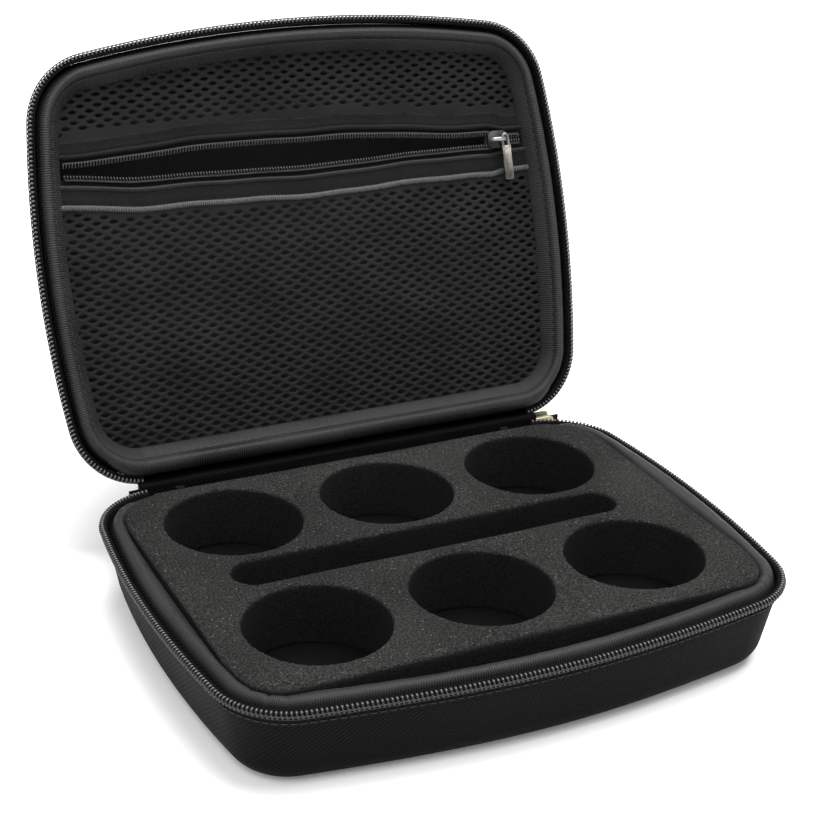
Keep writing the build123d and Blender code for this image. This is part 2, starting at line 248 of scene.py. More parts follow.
def sweep(name, us, profile, half, ring=True, closed=True, shape=None):
    """A profile of (inset, depth) carried round the rim of one half of the case."""
    profile = np.asarray(profile, float)
    inset, depth = (np.tile(profile[:, k], (len(us), 1)) for k in (0, 1))
    if shape:
        inset, depth = shape(np.asarray(us)[:, None], inset, depth)
    faces, i, j = grid_faces(len(us), len(profile), ring, closed)
    around = np.append(us, us[0] + RIM_LENGTH)
    uvs = np.stack([around[i], lengths_along(profile, closed)[j]], -1).reshape(-1, 2)
    faces = faces.tolist()
    if not ring and closed:
        faces += end_caps(len(us), len(profile))
        uvs = np.vstack([uvs, profile, profile])
    return make_object(name, on_rim(half, us, inset, depth), faces, uvs)


def stamp(name, template, faces, origins, axes):
    """Copies of a small mesh, one in each frame. axes is (count, 3, 3), one axis in each row."""
    template = np.asarray(template, float)
    world = origins[:, None, :] + np.einsum("vk,nkx->nvx", template, axes)
    count = len(template)
    every = [[index + n * count for index in face] for n in range(len(origins)) for face in faces]
    corners = np.array([index for face in faces for index in face])
    uvs = np.tile(template[corners][:, :2], (len(origins), 1))
    return make_object(name, world.reshape(-1, 3), every, uvs)


def tube(path, radii, sides=8, closed=False):
    """Points and faces of a tube along a path, with a radius for each point of it."""
    path = np.asarray(path, float)
    ahead = np.roll(path, -1, 0) - np.roll(path, 1, 0)
    if not closed:
        ahead[0], ahead[-1] = path[1] - path[0], path[-1] - path[-2]
    ahead /= np.linalg.norm(ahead, axis=1)[:, None]
    side = np.cross(ahead[0], [0.13, 0.31, 0.94])
    angles = np.linspace(0, 2 * math.pi, sides, endpoint=False)
    rings = []
    for centre, forward, radius in zip(path, ahead, radii):
        side = side - forward * np.dot(side, forward)
        side /= np.linalg.norm(side)
        up = np.cross(forward, side)
        rings.append(
            centre + radius * (np.cos(angles)[:, None] * side + np.sin(angles)[:, None] * up)
        )
    faces = grid_faces(len(path), sides, closed, True)[0].tolist()
    if not closed:
        faces += end_caps(len(path), sides)
    return np.concatenate(rings), faces


def modified(obj, kind, **settings):
    """Applies one modifier to the object's mesh."""
    modifier = obj.modifiers.new(kind.lower(), kind)
    for key, value in settings.items():
        setattr(modifier, key, value)
    graph = bpy.context.evaluated_depsgraph_get()
    mesh = bpy.data.meshes.new_from_object(obj.evaluated_get(graph))
    obj.modifiers.clear()
    old, obj.data = obj.data, mesh
    bpy.data.meshes.remove(old)
    mesh.polygons.foreach_set("use_smooth", [True] * len(mesh.polygons))
    return obj


def finished(obj, body, slot, material, *nodes):
    """Gives a piece its material and its body, and hides the frame nodes that it stands for."""
    obj.data.materials.clear()
    obj.data.materials.append(material)
    if body:
        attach(obj, body)
    if nodes:
        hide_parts(*nodes)
    return obj


# ---- materials ----
class Nodes:
    """A material being built: short calls for the nodes it needs."""

    def __init__(self, name, colour, roughness, specular=0.5, metallic=0.0, sheen=0.0):
        self.material = bpy.data.materials.new(name)
        self.material.use_nodes = True
        self.tree = self.material.node_tree
        self.shader = self.tree.nodes["Principled BSDF"]
        settings = {"Base Color": (*colour, 1), "Roughness": roughness, "Metallic": metallic}
        settings |= {"Specular IOR Level": specular, "Sheen Weight": sheen, "Sheen Roughness": 0.5}
        for socket, value in settings.items():
            self.shader.inputs[socket].default_value = value
        self.coordinates = self.tree.nodes.new("ShaderNodeTexCoord")

    def node(self, kind, inputs=None, **settings):
        made = self.tree.nodes.new(kind)
        for key, value in settings.items():
            setattr(made, key, value)
        for key, value in (inputs or {}).items():
            self.feed(made.inputs[key], value)
        return made

    def feed(self, socket, value):
        if isinstance(value, bpy.types.NodeSocket):
            self.tree.links.new(value, socket)
        else:
            socket.default_value = value

    def math(self, operation, a, b=0.0, c=0.0):
        return self.node("ShaderNodeMath", {0: a, 1: b, 2: c}, operation=operation).outputs[0]

    def times(self, a, b):
        return self.math("MULTIPLY", a, b)

    def plus(self, a, b):
        return self.math("ADD", a, b)

    def axes(self, space):
        return self.node("ShaderNodeSeparateXYZ", {0: self.coordinates.outputs[space]}).outputs

    def ribs(self, along, period, sharp=1.0):
        """A wave from 0 to 1 with that period."""
        turns = self.times(along, 2 * math.pi / period)
        wave = self.math("MULTIPLY_ADD", self.math("SINE", turns), 0.5, 0.5)
        return self.math("POWER", wave, sharp) if sharp != 1.0 else wave

    def noise(self, scale, detail=2.0, space="Object", rough=0.5):
        inputs = {"Scale": scale, "Detail": detail, "Roughness": rough}
        inputs["Vector"] = self.coordinates.outputs[space]
        return self.node("ShaderNodeTexNoise", inputs).outputs["Fac"]

    def ramp(self, factor, *stops):
        """A colour ramp. Each stop is (position, grey or colour)."""
        made = self.node("ShaderNodeValToRGB", {0: factor})
        elements = made.color_ramp.elements
        while len(elements) < len(stops):
            elements.new(0.5)
        for element, (position, colour) in zip(elements, stops):
            element.position = position
            rgb = colour if isinstance(colour, tuple) else (colour,) * 3
            element.color = (*rgb, 1)
        return made.outputs[0]

    def mix(self, factor, a, b):
        return self.node("ShaderNodeMix", {0: factor, 6: a, 7: b}, data_type="RGBA").outputs[2]

    def share(self, value, low, high):
        """0 up to low, 1 from high, and a straight line between them."""
        return self.node("ShaderNodeMapRange", {0: value, 1: low, 2: high}).outputs[0]

    def bump(self, height, distance, strength):
        inputs = {"Height": height, "Distance": distance, "Strength": strength}
        return self.node("ShaderNodeBump", inputs).outputs[0]

    def finish(self, colour=None, roughness=None, normal=None):
        for name, value in (("Base Color", colour), ("Roughness", roughness), ("Normal", normal)):
            if value is not None:
                self.feed(self.shader.inputs[name], value)
        return self.material


def twill(name, dark, light, period=1.3):
    """Coarse nylon: diagonal ribs, each crossed by its threads. The colour follows the ribs' height,
    darker in the grooves as painted shade; the patches are partly dust and partly painted sheen.
    """
    m = Nodes(name, (dark,) * 3, 0.62, specular=0.04)
    u, v = m.axes("UV")[:2]
    wander = m.times(m.noise(90.0), 0.5)
    diagonal = m.plus(m.times(u, 0.62), m.times(v, 0.78))
    rib = m.ribs(m.plus(diagonal, wander), period)
    thread = m.ribs(m.math("SUBTRACT", m.times(u, 0.78), m.times(v, 0.62)), 0.62)
    height = m.times(rib, m.math("MULTIPLY_ADD", thread, 0.4, 0.6))
    patch = m.noise(14.0, 3.0)
    # Painted shade: darker in the grooves between ribs. The patches are partly dust and partly
    # painted sheen.
    tone = m.plus(m.times(height, 0.75), m.times(patch, 0.35))
    colour = m.ramp(tone, (0.1, dark * 0.55), (0.95, light))
    rough = m.ramp(patch, (0.3, 0.55), (0.75, 0.72))
    return m.finish(colour, rough, m.bump(height, 0.00022, 0.85))


def grosgrain(name, dark, light, period=0.54, specular=0.35, grain=45.0):
    """Satin ribbed tape: ribs across it, threads along it. The colour follows the ribs' height:
    crests paler and grooves darker, as painted light and shade.
    """
    m = Nodes(name, (dark,) * 3, 0.42, specular=specular, sheen=0.02)
    u, v = m.axes("UV")[:2]
    wander = m.times(m.noise(160.0), 0.45)
    rib = m.ribs(m.plus(u, wander), period, sharp=2.2)
    thread = m.ribs(v, 0.45)
    height = m.plus(m.times(rib, 0.8), m.times(thread, 0.2))
    patch = m.noise(grain, 4.0)
    # Painted light and shade: rib crests paler, the grooves between them darker.
    tone = m.plus(m.times(height, 0.75), m.times(patch, 0.4))
    cool = (light * 0.97, light, light * 1.04)
    colour = m.ramp(tone, (0.15, dark), (0.9, cool))
    rough = m.ramp(patch, (0.3, 0.3), (0.7, 0.52))
    return m.finish(colour, rough, m.bump(height, 0.00016, 0.9))


def plain_weave(name, dark, light, period=0.5, rough=0.85):
    m = Nodes(name, (dark,) * 3, rough, specular=0.08)
    x, y, z = m.axes("Object")
    across = m.times(m.plus(y, z), 1000.0)
    weave = m.times(m.ribs(m.times(x, 1000.0), period), m.ribs(across, period))
    patch = m.noise(60.0, 4.0)
    tone = m.plus(m.times(weave, 0.6), m.times(patch, 0.5))
    colour = m.ramp(tone, (0.1, dark), (0.95, light))
    return m.finish(colour, None, m.bump(weave, 0.00012, 0.8))


def foam_material(name, lit_top_from, lit_top_to, painted_shade=1.0):
    """Open-cell foam: a paler top and darker cut faces below the given heights, as painted light and
    shade; dark pores are painted shade and pale specks are painted glints.
    """
    m = Nodes(name, (0.04, 0.04, 0.043), 0.95, specular=0.05, sheen=0.01)
    z = m.axes("Object")[2]
    # Painted light and shade: the top is paler, and the cut faces of the sides and holes below it
    # are darker.
    lit_top_share = m.share(z, lit_top_from * MM, lit_top_to * MM)
    grain = m.noise(1500.0, 3.0, rough=0.75)
    blotch = m.noise(22.0, 3.0)
    cells = m.node(
        "ShaderNodeTexVoronoi",
        {"Vector": m.coordinates.outputs["Object"], "Scale": 1000.0},
        feature="F1",
    )
    pick = m.node("ShaderNodeSeparateColor", {0: cells.outputs["Color"]}).outputs
    near = m.math("LESS_THAN", cells.outputs["Distance"], 0.3)
    # Painted shade in the pores, and painted glints of the cell walls as pale specks.
    painted_glint = m.times(near, m.math("GREATER_THAN", pick[0], 0.93))
    painted_pore_shade = m.times(near, m.math("GREATER_THAN", pick[1], 0.62))
    tone = m.plus(m.times(grain, 0.85), m.times(blotch, 0.2))
    top = m.ramp(tone, (0.36, 0.003), (0.52, (0.015, 0.015, 0.0145)), (0.72, (0.05, 0.05, 0.048)))
    top = m.mix(m.times(painted_pore_shade, 0.7), top, (0.006, 0.006, 0.006, 1))
    top = m.mix(painted_glint, top, (0.07, 0.07, 0.067, 1))
    # The last factor darkens the cut faces further, as painted shade.
    cut = m.ramp(tone, (0.35, 0.003 * painted_shade), (0.7, 0.017 * painted_shade))
    colour = m.mix(lit_top_share, cut, top)
    return m.finish(colour, None, m.bump(grain, 0.0005, 0.8))


def nylon(name, dark, light, rough=0.28, tip_highlight=None):
    """Moulded nylon. The last argument paints the teeth paler at their heads, a painted highlight,
    as (from, to, grey).
    """
    m = Nodes(name, (dark,) * 3, rough, specular=0.5)
    patch = m.noise(700.0, 2.0)
    colour = m.ramp(patch, (0.3, dark), (0.7, light))
    if tip_highlight is not None:
        low, high, pale = tip_highlight
        # Painted highlight: paler towards the teeth's heads.
        tip_highlight_share = m.share(m.axes("UV")[1], low, high)
        colour = m.mix(tip_highlight_share, colour, (pale, pale, pale * 1.02, 1))
    roughness = m.ramp(patch, (0.3, rough), (0.7, rough + 0.14))
    return m.finish(colour, roughness, m.bump(patch, 0.00005, 0.4))


def metal(name, dark, light, rough=0.3, scale=180.0):
    """Plated zinc, with the plating rubbed lighter in patches and fine scratches."""
    m = Nodes(name, dark, rough, metallic=0.85)
    patch = m.noise(scale, 5.0)
    fine = m.noise(2600.0, 2.0)
    colour = m.ramp(patch, (0.32, dark), (0.68, light))
    height = m.plus(m.times(patch, 0.6), m.times(fine, 0.3))
    roughness = m.ramp(patch, (0.3, rough), (0.75, rough + 0.2))
    return m.finish(colour, roughness, m.bump(height, 0.00012, 0.5))


def floor_material():
    m = Nodes("pale_floor", (0.93, 0.93, 0.93), 0.9, specular=0.05)
    m.shader.inputs["Emission Color"].default_value = (1, 1, 1, 1)
    m.shader.inputs["Emission Strength"].default_value = 0.1
    return m.finish(m.ramp(m.noise(3.0), (0.3, 0.92), (0.7, 0.94)))


SHELL = twill("shell_twill", 0.0016, 0.0052)
LINING = plain_weave("lining_weave", 0.02, 0.05)
BINDING = grosgrain("binding_grosgrain", 0.0006, 0.034, period=0.8, specular=0.2)
BAND = grosgrain("band_grosgrain", 0.0006, 0.032, period=0.8, specular=0.16)
STRIP = grosgrain("pocket_strip_satin", 0.001, 0.014, period=0.6, specular=0.1)
# The strip's rolled edge: the same satin painted far paler as painted highlight, its fine patches
# painted glints.
STRIP_EDGE_HIGHLIGHT = grosgrain("pocket_strip_edge_highlight", 0.001, 0.1, period=0.8, specular=0.3, grain=650.0)
TAPE = plain_weave("zipper_tape_weave", 0.002, 0.008, period=0.45)
# The teeth's heads are painted paler, as painted highlight.
COIL = nylon("zipper_nylon", 0.004, 0.012, rough=0.17, tip_highlight=(2.15, 2.6, 0.07))
POCKET_COIL = nylon("pocket_zipper_nylon", 0.004, 0.014, rough=0.22, tip_highlight=(1.1, 1.7, 0.05))
THREAD = nylon("sewing_thread", 0.005, 0.016, rough=0.6)
KNIT = plain_weave("mesh_knit", 0.006, 0.026, period=0.34)
FOAM = foam_material("foam_cells", 30.2, 31.0)
# The pad is all cut face, painted much darker than the insert as painted shade at the bottom of the
# holes.
PAD_FOAM = foam_material("pad_foam_cells", 900.0, 901.0, painted_shade=0.2)
# The hinge cloth is the shell's twill painted darker, as painted shade in the gap between lid and
# base.
HINGE_CLOTH = twill("hinge_cloth", 0.001, 0.0026, period=0.9)
# The pocket slider's plates: its metal painted dark, as painted shade.
SLIDER_PLATES_SHADED = metal("slider_plates_painted_shade", (0.012, 0.012, 0.013), (0.05, 0.05, 0.052), rough=0.35)
SLIDER_METAL = metal("slider_gunmetal", (0.16, 0.16, 0.16), (0.42, 0.42, 0.42))
PULL_METAL = metal("pull_plating", (0.07, 0.064, 0.056), (0.27, 0.26, 0.235), rough=0.3)
BRASS_METAL = metal("main_slider_plating", (0.36, 0.32, 0.2), (0.56, 0.51, 0.36), rough=0.42)

# ---- camera ----
CAMERA_AT = Vector((-0.24538, -0.46587, 0.31980))
AZIMUTH, ELEVATION, ROLL = (math.radians(a) for a in (26.603, 24.778, -1.958))


def make_camera():
    data = bpy.data.cameras.new("camera")
    data.lens = 81.4
    data.sensor_width = 36.0
    data.clip_start = 0.01
    camera = linked("camera", data)
    turns = ((-AZIMUTH, "Z"), (math.pi / 2 - ELEVATION, "X"), (-ROLL, "Z"))
    camera.matrix_world = Matrix.Translation(CAMERA_AT)
    for angle, axis in turns:
        camera.matrix_world = camera.matrix_world @ Matrix.Rotation(angle, 4, axis)
    bpy.context.scene.camera = camera


# ---- shells and linings ----
WALL_DRAFT = math.tan(math.radians(11.0))
LIP_DEPTH = 7.0


def bowl_profile(start, top, floor, radius):
    """The outer face of a tub as (inset, depth), from its top edge to where its floor begins."""
    low_inset = start + (floor - LIP_DEPTH) * WALL_DRAFT
    slope = math.atan(WALL_DRAFT)
    reach = radius * math.tan((math.pi / 2 - slope) / 2)
    centre = np.array([low_inset + reach, floor - radius])
    angles = np.linspace(math.pi - slope, math.pi / 2, 12)
    arc = centre + radius * np.stack([np.cos(angles), np.sin(angles)], 1)
    heights = np.linspace(LIP_DEPTH, arc[0, 1], 7)[:-1]
    wall = np.stack([start + (heights - LIP_DEPTH) * WALL_DRAFT, heights], 1)
    return np.vstack([np.array(top, float), wall, arc])


FLOOR_SHARES = (0.9, 0.75, 0.55, 0.3, 0.08)  # rings that draw a floor in to the middle


def tub(name, half, outer, inner, crown):
    """A closed tub: outer face, lip, inner face, and both floors."""
    us = np.linspace(0, RIM_LENGTH, 360, endpoint=False)
    points, normals = rim_at(us)
    walls = np.vstack([outer[::-1], inner])
    rings = [(points + normals * inset, depth) for inset, depth in walls]
    floors = [
        [(ring * share, depth + crown * (1 - share) ** 0.7) for share in FLOOR_SHARES]
        for ring, depth in (rings[0], rings[-1])
    ]
    rings = floors[0][::-1] + rings + floors[1]
    flat = np.stack([ring for ring, _ in rings], 1)
    depths = np.broadcast_to([depth for _, depth in rings], flat.shape[:2])
    world = PLACES[half](flat[..., 0], flat[..., 1], depths).reshape(-1, 3)
    count, in_floor = len(rings), len(FLOOR_SHARES)
    around = np.append(us, RIM_LENGTH)
    faces, i, j = grid_faces(len(us), count, True, False)
    fall = np.pad(lengths_along(walls, False), in_floor, mode="edge")
    uvs = np.stack([around[i], fall[j]], -1)
    on_floor = (j.max(1) <= in_floor) | (j.min(1) >= count - in_floor - 1)
    uvs[on_floor] = flat[i[on_floor] % len(us), j[on_floor]]
    faces = faces.tolist() + [[n * count + end for n in range(len(us))] for end in (0, count - 1)]
    uvs = np.vstack([uvs.reshape(-1, 2), flat[:, 0], flat[:, -1]])
    return make_object(name, world, faces, uvs)


OUTER_TOP = [(4.3, 2.35), (3.5, 3.0), (2.95, 4.4), (2.7, 6.0)]
INNER_TOP = [(6.3, 2.35), (6.58, 2.9), (6.6, 5.0)]
SHELL_WALL = 4.0
LINING_GAP, LINING_INNER = 0.05, 0.6  # the lining's two faces, from the shell's inner face
LID_CROWN = 0.9


def inner_face(gap, top):
    return bowl_profile(6.6 + gap, top, HALF_HEIGHT - SHELL_WALL - gap, 5.5 - gap)


def make_shells():
    for half, crown in (("base", 0.0), ("lid", LID_CROWN)):
        outer = bowl_profile(2.62, OUTER_TOP, HALF_HEIGHT, 9.5)
        shell = tub(f"{half}_shell_cloth", half, outer, inner_face(0.0, INNER_TOP), crown)
        finished(shell, half, "shell_fabric", SHELL, f"{half}_shell")
        faces = inner_face(LINING_GAP, [(6.65, 3.2)]), inner_face(LINING_INNER, [(7.15, 3.2)])
        lining = tub(f"{half}_lining_cloth", half, *faces, crown)
        finished(lining, half, "lining_fabric", LINING, f"{half}_lining")


# ---- rim: tape, teeth, binding ----
def zipper_run(step):
    span = RIM_LENGTH - 2 * ZIPPER_REAR_END
    count = int(round(span / step))
    return ZIPPER_REAR_END + (np.arange(count) + 0.5) * span / count


def ring_run(step):
    return np.linspace(0, RIM_LENGTH, int(RIM_LENGTH / step), endpoint=False)


# along the zipper, from the tape's edge to the tooth's head, through its thickness
TOOTH_PATH = [(0.40, 0.30, 0.40), (0.26, 0.85, 0.34), (0.02, 1.50, 0.34), (-0.10, 1.98, 0.52)]
TOOTH_PATH += [(-0.12, 2.16, 1.00), (-0.10, 1.98, 1.48), (0.02, 1.50, 1.64), (0.26, 0.85, 1.64)]
TOOTH_PATH += [(0.40, 0.30, 1.58)]
TOOTH_RADII = [0.30, 0.32, 0.34, 0.42, 0.46, 0.42, 0.34, 0.32, 0.30]
TOOTH_PITCH, STITCH_PITCH = 1.45, 2.9
STITCH_RADII = [0.1, 0.17, 0.17, 0.1]
# profiles of the tape and of the dark cloth inside the coil, as (inset, depth)
TAPE_PROFILE = [(2.02, 1.5), (2.2, 1.2), (2.55, 1.5), (2.66, 6.4), (2.5, 6.9), (1.98, 6.4)]
CORE_PROFILE = [(0.55, 2.9), (0.62, 1.95), (1.0, 1.62), (1.7, 1.65), (2.4, 1.8), (2.45, 3.3)]
CORE_PROFILE += [(0.7, 3.35)]
# name, inset, depth and radius of the threads that run along the tape
TAPE_THREADS = [("zipper_cord", 0.12, 2.35, 0.2), ("zipper_seam_upper", 1.86, 4.3, 0.16)]


def rim_frames(us, half, inset, depth):
    """Origins at (inset, depth) on the rim, and axes along it, out of the tub, and inwards."""
    origins = on_rim(half, us, inset, depth)
    along = on_rim(half, us, inset, depth, 1) - origins
    out = on_rim(half, us, inset, depth - 1) - origins
    inwards = on_rim(half, us, inset + 1, depth) - origins
    return origins, np.stack([along, out, inwards], 1)


def make_rim(half):
    frames = rim_frames(zipper_run(TOOTH_PITCH), half, 0.0, 3.5)
    teeth = stamp(f"{half}_zipper_teeth", *tube(TOOTH_PATH, TOOTH_RADII), *frames)
    finished(teeth, half, "zipper_coil", COIL, f"{half}_zipper_coil")

    us = np.linspace(ZIPPER_REAR_END, RIM_LENGTH - ZIPPER_REAR_END, 420)
    tape = sweep(f"{half}_zipper_cloth", us, rounded(TAPE_PROFILE, 1), half, ring=False)
    finished(tape, half, "zipper_tape", TAPE, f"{half}_zipper_tape")
    core = sweep(f"{half}_zipper_core", us, rounded(CORE_PROFILE, 1), half, ring=False)
    finished(core, half, "zipper_tape", TAPE)

    angles = np.linspace(0, 2 * math.pi, 8, endpoint=False)
    for name, inset, depth, radius in TAPE_THREADS:
        ring = np.stack([inset + radius * np.cos(angles), depth + radius * np.sin(angles)], 1)
        line = sweep(f"{half}_{name}", us, ring, half, ring=False)
        finished(line, half, "zipper_tape", THREAD)

    stitch = tube([(-1.0, 0, 0), (-0.7, 0, -0.12), (0.7, 0, -0.12), (1.0, 0, 0)], STITCH_RADII, 6)
    frames = rim_frames(zipper_run(STITCH_PITCH), half, 1.98, 5.7)
    stitches = stamp(f"{half}_zipper_stitches", *stitch, *frames)
    finished(stitches, half, "zipper_tape", THREAD)

# each is a ring of (inset, depth)
BINDING_PROFILE = [(4.6, 4.8), (4.3, 3.4), (4.4, 1.9), (5.0, 0.8), (6.1, 0.2), (7.3, 0.15)]
BINDING_PROFILE += [(8.4, 0.7), (9.1, 1.9), (9.3, 3.6), (9.3, 6.8), (8.6, 6.9), (8.4, 3.4)]
BINDING_PROFILE += [(7.4, 2.25), (5.6, 2.25), (5.0, 3.4)]
LID_BINDING_PROFILE = [(4.6, 4.8), (4.3, 3.4), (4.4, 1.9), (5.1, 0.75), (6.2, 0.2), (7.3, 0.5)]
LID_BINDING_PROFILE += [(8.1, 1.5), (8.5, 3.0), (8.1, 3.4), (7.2, 2.3), (5.5, 2.3), (5.0, 3.4)]
BAND_PROFILE = [(8.0, 2.5), (8.6, 2.6), (9.4, 3.2), (10.6, 4.5), (11.7, 6.0), (11.9, 6.7)]
BAND_PROFILE += [(11.4, 6.9), (10.0, 5.4), (8.7, 3.9), (8.0, 3.4)]
BINDING_MIDDLE, BINDING_INNER = 6.6, 9.3  # insets of the base binding's crest and inner side
LID_BINDING_MIDDLE = 7.2
FOAM_CORNER_RADIUS = 14.0


def foam_insets(us):
    """How far in from the rim the foam's edge is, at distances round the rim."""
    low, high = box_mm("foam_insert")
    middle, reach = (low + high)[:2] / 2, (high - low)[:2] / 2 - FOAM_CORNER_RADIUS
    points, normals = rim_at(us)
    near, far = np.zeros(len(us)), np.full(len(us), 40.0)
    for _ in range(24):
        inset = (near + far) / 2
        away = np.abs(points + normals * inset[:, None] - middle) - reach
        gap = np.linalg.norm(np.maximum(away, 0), axis=1) + np.minimum(away.max(1), 0)
        gap -= FOAM_CORNER_RADIUS
        near, far = np.where(gap > 0, inset, near), np.where(gap > 0, far, inset)
    return near


def proud(depth, fade):
    """1 at the parting plane, falling to 0 at that depth."""
    return np.clip(1 - depth / fade, 0, 1)


def filled_out(us, inset, depth):
    """The base binding: its inner side swells to the foam, but along the front it stays narrow.

    At the corners it creases. On the right it is fuller and stands higher, and hides the zipper.
    """
    inset, depth = puckers(0.5, 1.0)(us, inset, depth)
    points, normals = rim_at(us.ravel())
    facing = normals[:, 1:]
    front = facing > 0.9
    widest = np.where(front, BINDING_INNER + 3.0 * np.clip((1 - facing) / 0.03, 0, 1), 12.4)
    reach = np.clip(foam_insets(us.ravel())[:, None] - 0.1, 8.9, widest)
    gather = drift(us, 0.16, 2.0, 3.3)
    bend = np.clip(1 - np.abs(np.abs(facing) - 0.7) / 0.3, 0, 1)
    stretch = (reach + 1.6 * gather * bend - BINDING_MIDDLE) / (BINDING_INNER - BINDING_MIDDLE)
    right = np.clip(points[:, :1] / 60.0 - 0.3, 0, 1) * np.clip(1 - np.abs(facing), 0, 1)
    beyond = inset - BINDING_MIDDLE
    fuller = np.where(beyond > 0, beyond * stretch, beyond * (1 + 0.45 * right))
    crease = bend * np.clip(np.sin(us * 0.9 + 2 * gather) - 0.45, 0, 1) * 1.2
    lift = 0.35 + 0.45 * right
    sink = crease + 1.4 * along_rear(facing) - lift
    return BINDING_MIDDLE + fuller, depth + sink * proud(depth, 3.0)


def along_rear(facing):
    """1 beside the hinge, falling to 0 round the rear corners. Facing is the normal's y."""
    return np.clip((-facing - 0.75) / 0.2, 0, 1)


def rolled_over(us, inset, depth):
    """The lid binding: beside the hinge it rolls over the edge and hides the base's binding."""
    inset, depth = puckers(0.5, 5.0)(us, inset, depth)
    rear = along_rear(rim_at(us.ravel())[1][:, 1:])
    sag = 0.5 + 0.5 * drift(us, 0.03, 8.0, 1.1)
    before = LID_BINDING_MIDDLE - inset
    fuller = np.where(before > 0, LID_BINDING_MIDDLE - before * (1 + 0.6 * rear), inset)
    return fuller, depth - rear * proud(depth, 4.0) * (1.0 + 0.5 * sag)


def puckers(strength, seed):
    """A shape for sweeps: slow swells, and small gathers."""

    def shape(us, inset, depth):
        swell, gather = drift(us, 0.02, seed, 0.3), drift(us, 0.22, seed, 7.7)
        amount = strength * proud(depth, 4.0)
        return inset + 0.5 * swell * amount, depth - amount * (0.35 * swell + 0.25 * gather)

    return shape


def make_bindings():
    us = ring_run(1.0)
    for name, half, profile, shape, material, *nodes in (
        ("base_binding_cloth", "base", BINDING_PROFILE, filled_out, BINDING, "base_binding"),
        ("lid_binding_cloth", "lid", LID_BINDING_PROFILE, rolled_over, BINDING, "lid_binding"),
        ("lid_inner_band", "lid", BAND_PROFILE, puckers(0.5, 9.0), BAND),
    ):
        cloth = sweep(name, us, rounded(profile, 2), half, shape=shape)
        finished(cloth, half, "edge_binding", material, *nodes)

    path = [(-1.1, 0, 0), (-0.8, 0.16, 0), (0.8, 0.16, 0), (1.1, 0, 0)]
    stitch = tube(path, [0.1, 0.18, 0.18, 0.1], 6)
    frames = rim_frames(ring_run(STITCH_PITCH), "lid", 8.5, 2.45)
    finished(stamp("lid_seam_stitches", *stitch, *frames), "lid", "edge_binding", THREAD)


# ---- cloth hinge ----
HINGE_PATH = [(2.5, 9.0), (1.9, 6.8), (1.0, 4.4), (0.4, 2.2), (-0.02, 0.7)]
HINGE_OVERLAP = 2.5  # past each end of the zipper


def make_hinge():
    """One strip up the base's rear wall, over the hinge line, and onto the lid's."""
    half_width = ZIPPER_REAR_END + HINGE_OVERLAP
    us = np.linspace(-half_width, half_width, 77)
    outer = np.vstack([rounded(HINGE_PATH, 2, closed=False), [(-0.3, 0.0)]])
    rows = []
    for half, profile in (("base", outer), ("lid", outer[::-1][1:])):
        for inset, depth in profile:
            ripple = 0.18 * drift(us, 0.08, depth * 0.4, 2.0)
            rows.append(on_rim(half, us, inset + ripple, depth))
    grid = np.stack(rows, 0)
    faces, i, j = grid_faces(len(rows), len(us))
    run = lengths_along(grid[:, len(us) // 2], False)
    uvs = np.stack([us[j], run[i]], -1).reshape(-1, 2)
    strip = make_object("hinge_cloth_strip", grid.reshape(-1, 3), faces.tolist(), uvs)
    modified(strip, "SOLIDIFY", thickness=0.5 * MM, offset=0.0)
    finished(strip, None, "hinge_fabric", HINGE_CLOTH)
    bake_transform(strip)
    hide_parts("hinge_strip_base", "hinge_strip_lid")


# ---- foam ----
FOAM_TO_REAR, PAD_RISE = 1.9 * MM, 0.9 * MM  # how far the foam outgrows its frame nodes


def make_foam():
    for node, size, material in (
        ("foam_insert", 1.0 * MM, FOAM),
        ("foam_pad", 1.6 * MM, PAD_FOAM),
    ):
        foam = linked(f"{node}_block", frame["nodes"][node].data.copy())
        edited(foam.data, lambda work: bmesh.ops.remove_doubles(work, verts=work.verts, dist=1e-6))
        modified(foam, "REMESH", mode="VOXEL", voxel_size=size)
        modified(foam, "SMOOTH", factor=0.5, iterations=2)
        soften(foam, node == "foam_insert")
        finished(foam, "base", "foam", material, node)


def soften(foam, is_insert):
    """Moves the foam's points a little, in metres: slow unevenness, and torn cells."""
    mesh = foam.data
    co = np.zeros(len(mesh.vertices) * 3, np.float32)
    mesh.vertices.foreach_get("co", co)
    co = co.reshape(-1, 3)
    top = co[:, 2].max()
    middle, half = (co.max(0) + co.min(0)) / 2, (co.max(0) - co.min(0)) / 2
    for point in co:
        x, y, z = point
        cells = noise.noise((x * 900, y * 900, z * 900)) * 0.00012
        point[0] += cells
        point[1] += noise.noise((y * 900, z * 900, x * 900)) * 0.00010
        if is_insert and z > top - 0.006:
            slow = noise.noise((x * 28, y * 28, 4.0)) * 0.00045
            edge = max(abs(x - middle[0]) / half[0], abs(y - middle[1]) / half[1])
            point[2] += cells + slow - 0.0005 * max(0.0, edge - 0.93) / 0.07
    if is_insert:
        rear = co[:, 1].max()
        co[:, 1] += FOAM_TO_REAR * np.clip((co[:, 1] - rear + 0.002) / 0.002, 0, 1)
    else:
        co[:, 2] += np.where(co[:, 2] > top - 0.001, PAD_RISE, 0.0)
    mesh.vertices.foreach_set("co", co.ravel())
    mesh.update()


# ---- lid pocket ----
ZIP_FROM_HINGE = 104.6
ZIP_TILT = math.tan(math.radians(1.75))
ZIP_HALF = 86.0
MESH_T = 7.1


def eased(x, stops):
    """A smooth value through (x, value) stops."""
    xs, values = np.array(stops, float).T
    where = np.clip(np.searchsorted(xs, x) - 1, 0, len(xs) - 2)
    share = np.clip((x - xs[where]) / (xs[where + 1] - xs[where]), 0, 1)
    share = share * share * (3 - 2 * share)
    return values[where] + (values[where + 1] - values[where]) * share


